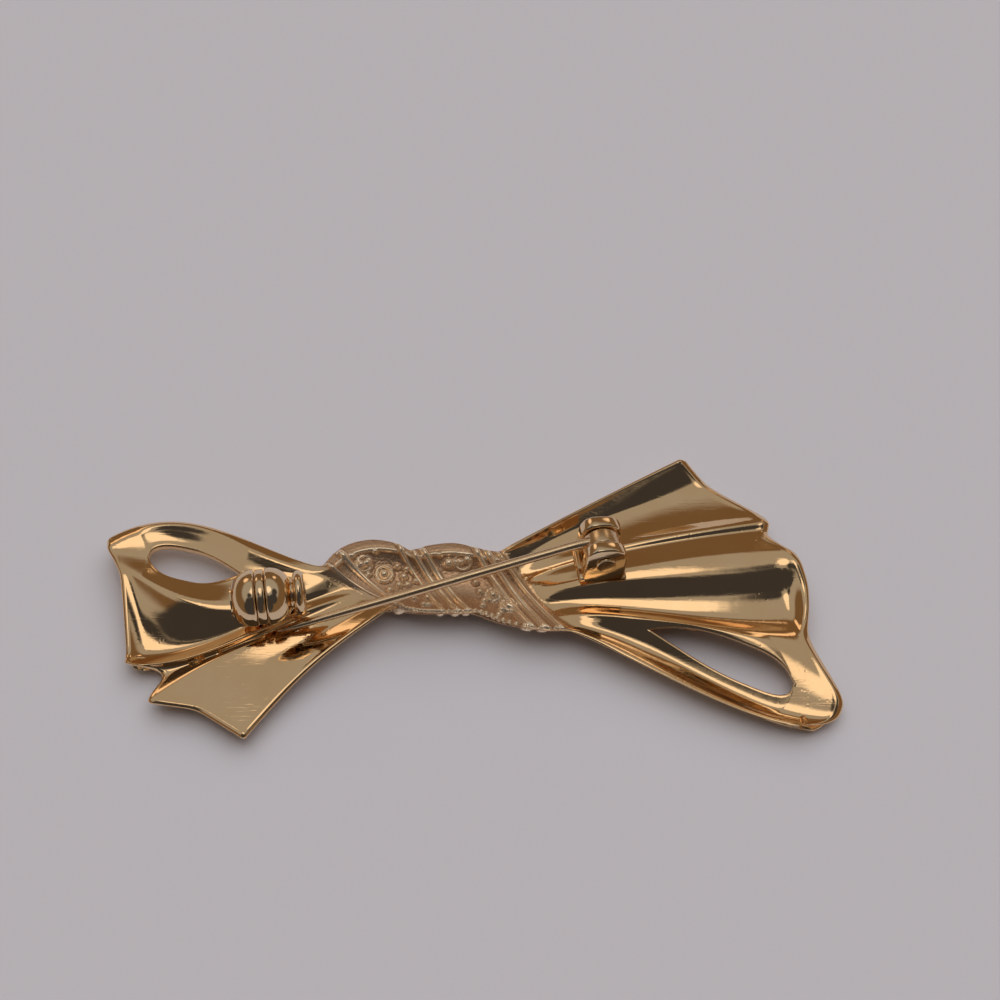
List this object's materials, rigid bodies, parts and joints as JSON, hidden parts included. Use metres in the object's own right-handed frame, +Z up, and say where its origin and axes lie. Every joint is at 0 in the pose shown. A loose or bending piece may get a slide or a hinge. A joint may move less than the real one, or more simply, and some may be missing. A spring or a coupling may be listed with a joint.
{
  "type": "bow brooch",
  "caption": "Pressed metal bow brooch with a twisted knot, two open loops and two tails; soldered hinge, swinging pin and turning safety catch on its back.",
  "frame": {"origin": "middle of the footprint, on the surface that the brooch's front rests on", "axes": "+X along the bow towards the hinge end, +Y away from the viewer across the bow, +Z up, out of the bow's back"},
  "size_m": [0.0602, 0.0256, 0.0071],
  "materials": {
    "bow_metal": "polished gold plate with a slight rose tint, satin on the knot, fine scratches",
    "rivet_metal": "polished gold plate, slightly worn",
    "pin_metal": "polished gold-plated wire",
    "sleeve_metal": "polished gold plate"
  },
  "bodies": {
    "bow": {"bow_body": "bow_metal", "hinge_rivet": "rivet_metal"},
    "pin": {"pin_stem": "pin_metal"},
    "sleeve": {"catch_sleeve": "sleeve_metal"}
  },
  "joints": [
    {"name": "pin_hinge", "type": "hinge", "parent": "bow", "child": "pin", "pos_m": [0.01083, 0.00257, 0.00472], "axis": [-0.1266, 0.962, -0.2419], "range_deg": [0, 110]},
    {"name": "catch_turn", "type": "hinge", "parent": "bow", "child": "sleeve", "pos_m": [-0.0163, -0.00196, 0.00475], "axis": [0.9914, 0.1305, 0], "range_deg": [0, 100]}
  ]
}
